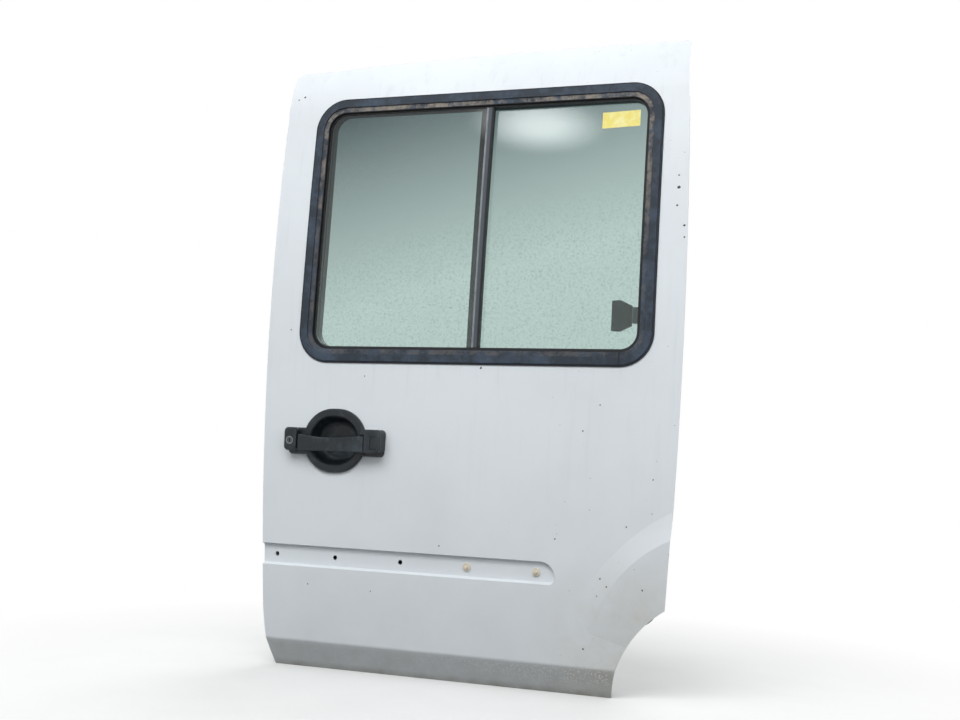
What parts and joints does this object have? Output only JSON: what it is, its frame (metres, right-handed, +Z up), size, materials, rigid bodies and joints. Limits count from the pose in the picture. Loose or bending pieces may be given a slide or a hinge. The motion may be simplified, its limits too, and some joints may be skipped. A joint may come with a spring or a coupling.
{
  "type": "van sliding door",
  "caption": "Left-hand sliding side door of a small van with a sliding window, outside pull handle with key lock, wheel-arch flare, moulding recess and roller arms.",
  "frame": {"origin": "centre of the flat underside of the lower roller arm's foot, which the sill track carries", "axes": "+X to the vehicle's rear, +Y inward from the outer skin, +Z up"},
  "size_m": [0.8914, 0.2377, 1.2951],
  "materials": {
    "white_paint": "aged gloss white paint",
    "gasket_rubber": "weathered moulded rubber",
    "frame_plastic": "black matt plastic",
    "tinted_glass": "green-grey tinted glass",
    "black_plastic": "grained black plastic",
    "grey_plastic": "grained grey plastic",
    "clip_nylon": "aged beige nylon",
    "plated_steel": "zinc plated",
    "coated_steel": "black dip coat",
    "roller_nylon": "moulded nylon"
  },
  "bodies": {
    "door": {"outer_skin": "white_paint", "inner_panel": "white_paint", "window_gasket": "gasket_rubber", "window_frame": "frame_plastic", "front_glass": "tinted_glass", "rear_glass": "tinted_glass", "division_seal": "gasket_rubber", "rear_glass_seal": "gasket_rubber", "window_latch": "black_plastic", "window_latch_keeper": "grey_plastic", "handle_housing": "black_plastic", "handle_pin": "plated_steel", "lock_ring": "plated_steel", "middle_clip": "clip_nylon", "rear_clip": "clip_nylon", "inner_trim": "grey_plastic", "release_bezel": "black_plastic", "release_lever": "black_plastic", "lower_arm": "coated_steel", "lower_guide_roller": "roller_nylon", "lower_load_roller": "roller_nylon", "upper_arm": "coated_steel", "upper_roller": "roller_nylon", "centre_arm": "coated_steel", "centre_front_roller": "roller_nylon", "centre_rear_roller": "roller_nylon", "front_latch": "plated_steel", "rear_latch": "plated_steel", "lower_dowel": "black_plastic", "upper_dowel": "black_plastic", "lower_buffer": "gasket_rubber", "upper_buffer": "gasket_rubber"},
    "grip": {"handle_grip": "black_plastic"},
    "barrel": {"lock_barrel": "plated_steel"}
  },
  "joints": [
    {"name": "grip_pull", "type": "hinge", "parent": "door", "child": "grip", "pos_m": [0.128, -0.169, 0.403], "axis": [0, 0, 1], "range_deg": [0, 20], "stiffness_Nm_per_rad": 4, "springref_deg": -5.73},
    {"name": "lock_turn", "type": "hinge", "parent": "door", "child": "barrel", "pos_m": [-0.031, -0.174, 0.407], "axis": [0, 1, 0], "range_deg": [-60, 60], "stiffness_Nm_per_rad": 0.05}
  ]
}
